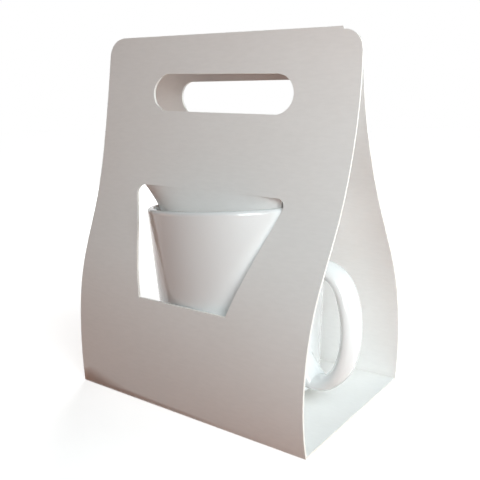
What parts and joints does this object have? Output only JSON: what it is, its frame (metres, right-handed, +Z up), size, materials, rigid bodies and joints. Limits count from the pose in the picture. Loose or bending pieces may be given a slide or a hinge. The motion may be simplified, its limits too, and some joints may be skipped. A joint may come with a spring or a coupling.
{
  "type": "mug gift box",
  "caption": "Open mug gift box: one folded sheet of white card with slots to carry it by and a window on each side, holding a glazed mug by flaps inside its rim.",
  "frame": {"origin": "on the table, under the middle of the folded base", "axes": "+X along the panels towards the mug's handle, +Y from the front panel to the back one, +Z up"},
  "size_m": [0.1368, 0.0944, 0.1711],
  "materials": {
    "card": "uncoated white card, soft and matte with a faint fibre",
    "glaze": "white ceramic with a clear glossy glaze"
  },
  "bodies": {
    "root": {"carton": "card", "mug": "glaze"}
  },
  "joints": []
}
